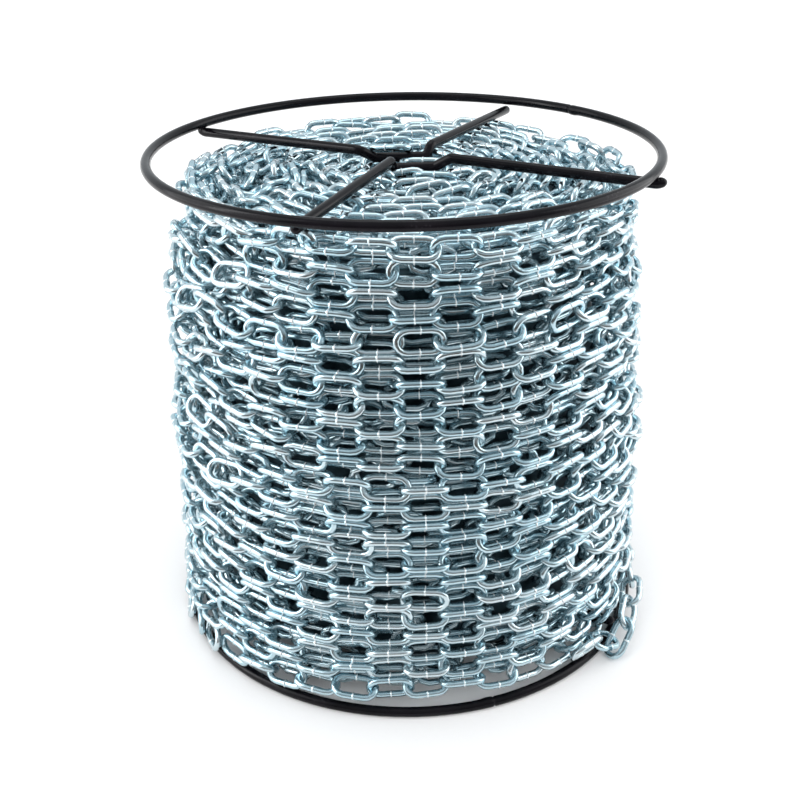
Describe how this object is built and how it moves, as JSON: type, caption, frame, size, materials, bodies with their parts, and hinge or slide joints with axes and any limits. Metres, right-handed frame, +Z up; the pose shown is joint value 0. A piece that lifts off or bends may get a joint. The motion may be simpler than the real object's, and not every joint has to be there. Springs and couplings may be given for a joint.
{
  "type": "wire reel of steel link chain",
  "caption": "Open wire reel standing on one flange, wound full of zinc-plated straight-link steel chain, with a slack outer turn reaching the floor.",
  "frame": {"origin": "on the floor, on the axis of the reel, under its lower flange ring", "axes": "+Z up along the reel's axis; seen from -Y, one spoke of the upper flange runs to the right and a little forward, and the slack outer turn hangs at the right"},
  "size_m": [0.357, 0.357, 0.354],
  "materials": {
    "black_paint": "semi-gloss black paint on steel wire",
    "zinc_plate": "bright blue-white zinc plate"
  },
  "bodies": {
    "root": {"top_ring": "black_paint", "bottom_ring": "black_paint", "top_spoke_wire_back": "black_paint", "top_spoke_wire_front": "black_paint", "bottom_spoke_wire_back": "black_paint", "bottom_spoke_wire_front": "black_paint", "core_bar_1": "black_paint", "core_bar_2": "black_paint", "core_bar_3": "black_paint", "core_bar_4": "black_paint", "chain_winding_1": "zinc_plate", "chain_winding_2": "zinc_plate", "chain_winding_3": "zinc_plate", "chain_winding_4": "zinc_plate", "slack_link_1": "zinc_plate", "slack_link_2": "zinc_plate", "slack_link_3": "zinc_plate", "slack_link_4": "zinc_plate", "slack_link_5": "zinc_plate", "slack_link_6": "zinc_plate"}
  },
  "joints": []
}
